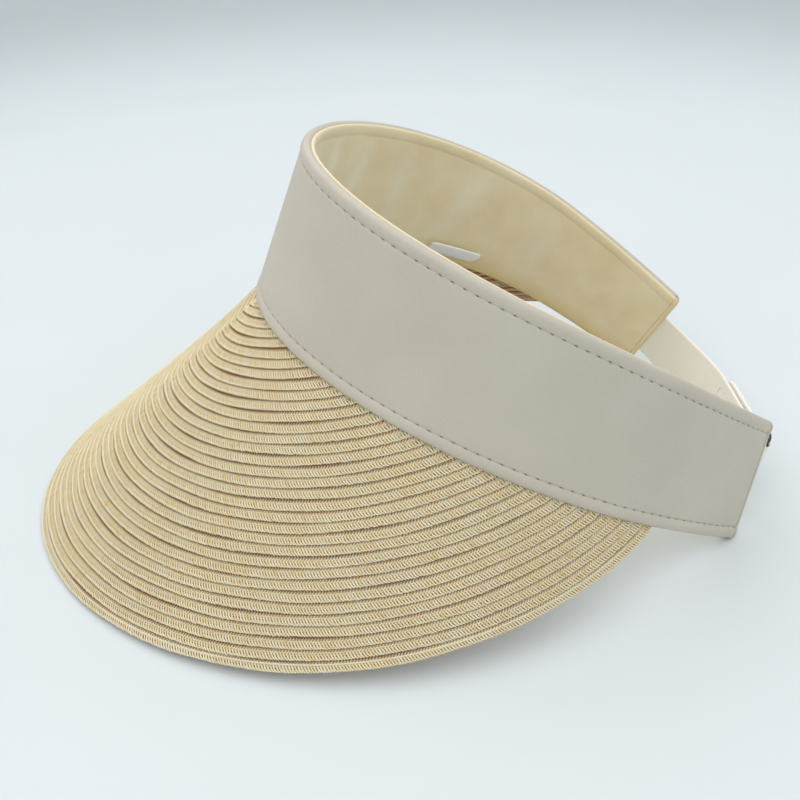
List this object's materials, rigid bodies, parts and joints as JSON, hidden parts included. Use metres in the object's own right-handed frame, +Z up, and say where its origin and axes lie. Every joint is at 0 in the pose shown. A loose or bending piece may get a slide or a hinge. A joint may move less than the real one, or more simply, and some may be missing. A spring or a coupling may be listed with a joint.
{
  "type": "sun visor",
  "caption": "Open-crown sun visor: leather head band, wide straw-braid brim and a rear strap that closes through a metal ring with hook-and-loop.",
  "frame": {"origin": "on the table under the middle of the visor's box, as it rests on the brim's front edge and the band's two rear corners", "axes": "+Z up from the table, the brim points to -Y, +X is the wearer's left"},
  "size_m": [0.21, 0.2656, 0.1303],
  "materials": {
    "band_leather": "smooth pale greige, faint grain",
    "core_sheet": "plain",
    "lining_cloth": "plain woven, khaki cream",
    "sewing_thread": "twisted thread",
    "straw_braid": "plaited paper straw",
    "edge_wire": "coated wire",
    "clear_thread": "clear nylon",
    "strap_leather": "smooth beige",
    "hook_and_loop": "hook-and-loop pile",
    "ring_metal": "dark plated",
    "label_cloth": "white woven, blank"
  },
  "bodies": {
    "visor": {"band_leather": "band_leather", "band_core": "core_sheet", "band_lining": "lining_cloth", "band_top_stitching": "sewing_thread", "band_bottom_stitching": "sewing_thread", "band_left_end_stitching": "sewing_thread", "band_right_end_stitching": "sewing_thread", "brim_braid": "straw_braid", "brim_edge_wire": "edge_wire", "brim_seam_thread": "clear_thread", "strap": "strap_leather", "strap_stitching": "sewing_thread", "strap_anchor_stitching": "sewing_thread", "loop_patch": "hook_and_loop", "loop_patch_stitching": "sewing_thread", "ring_tab": "strap_leather", "ring_tab_stitching": "sewing_thread"},
    "ring": {"ring": "ring_metal"},
    "tail_root": {"tail_loop": "strap_leather"},
    "tail": {"strap_tail": "strap_leather", "tail_stitching": "sewing_thread", "hook_patch": "hook_and_loop", "hook_patch_stitching": "sewing_thread"},
    "label": {"size_label": "label_cloth"}
  },
  "joints": [
    {"name": "ring_swing", "type": "hinge", "parent": "visor", "child": "ring", "pos_m": [0.04336, 0.12389, 0.01867], "axis": [0, -0.342, -0.9397], "range_deg": [0, 20]},
    {"name": "tail_peel", "type": "hinge", "parent": "ring", "child": "tail_root", "pos_m": [0.0334, 0.1247, 0.01838], "axis": [0, -0.342, -0.9397], "range_deg": [0, 135]},
    {"name": "tail_take_up", "type": "slide", "parent": "tail_root", "child": "tail", "axis": [-0.9962, 0.0819, -0.0298], "range_m": [0, 0.015]},
    {"name": "label_flap", "type": "hinge", "parent": "visor", "child": "label", "pos_m": [-0.07106, 0.03472, 0.05337], "axis": [-0.1898, 0.8879, -0.4191], "range_deg": [-10, 45], "stiffness_Nm_per_rad": 0.0001}
  ]
}
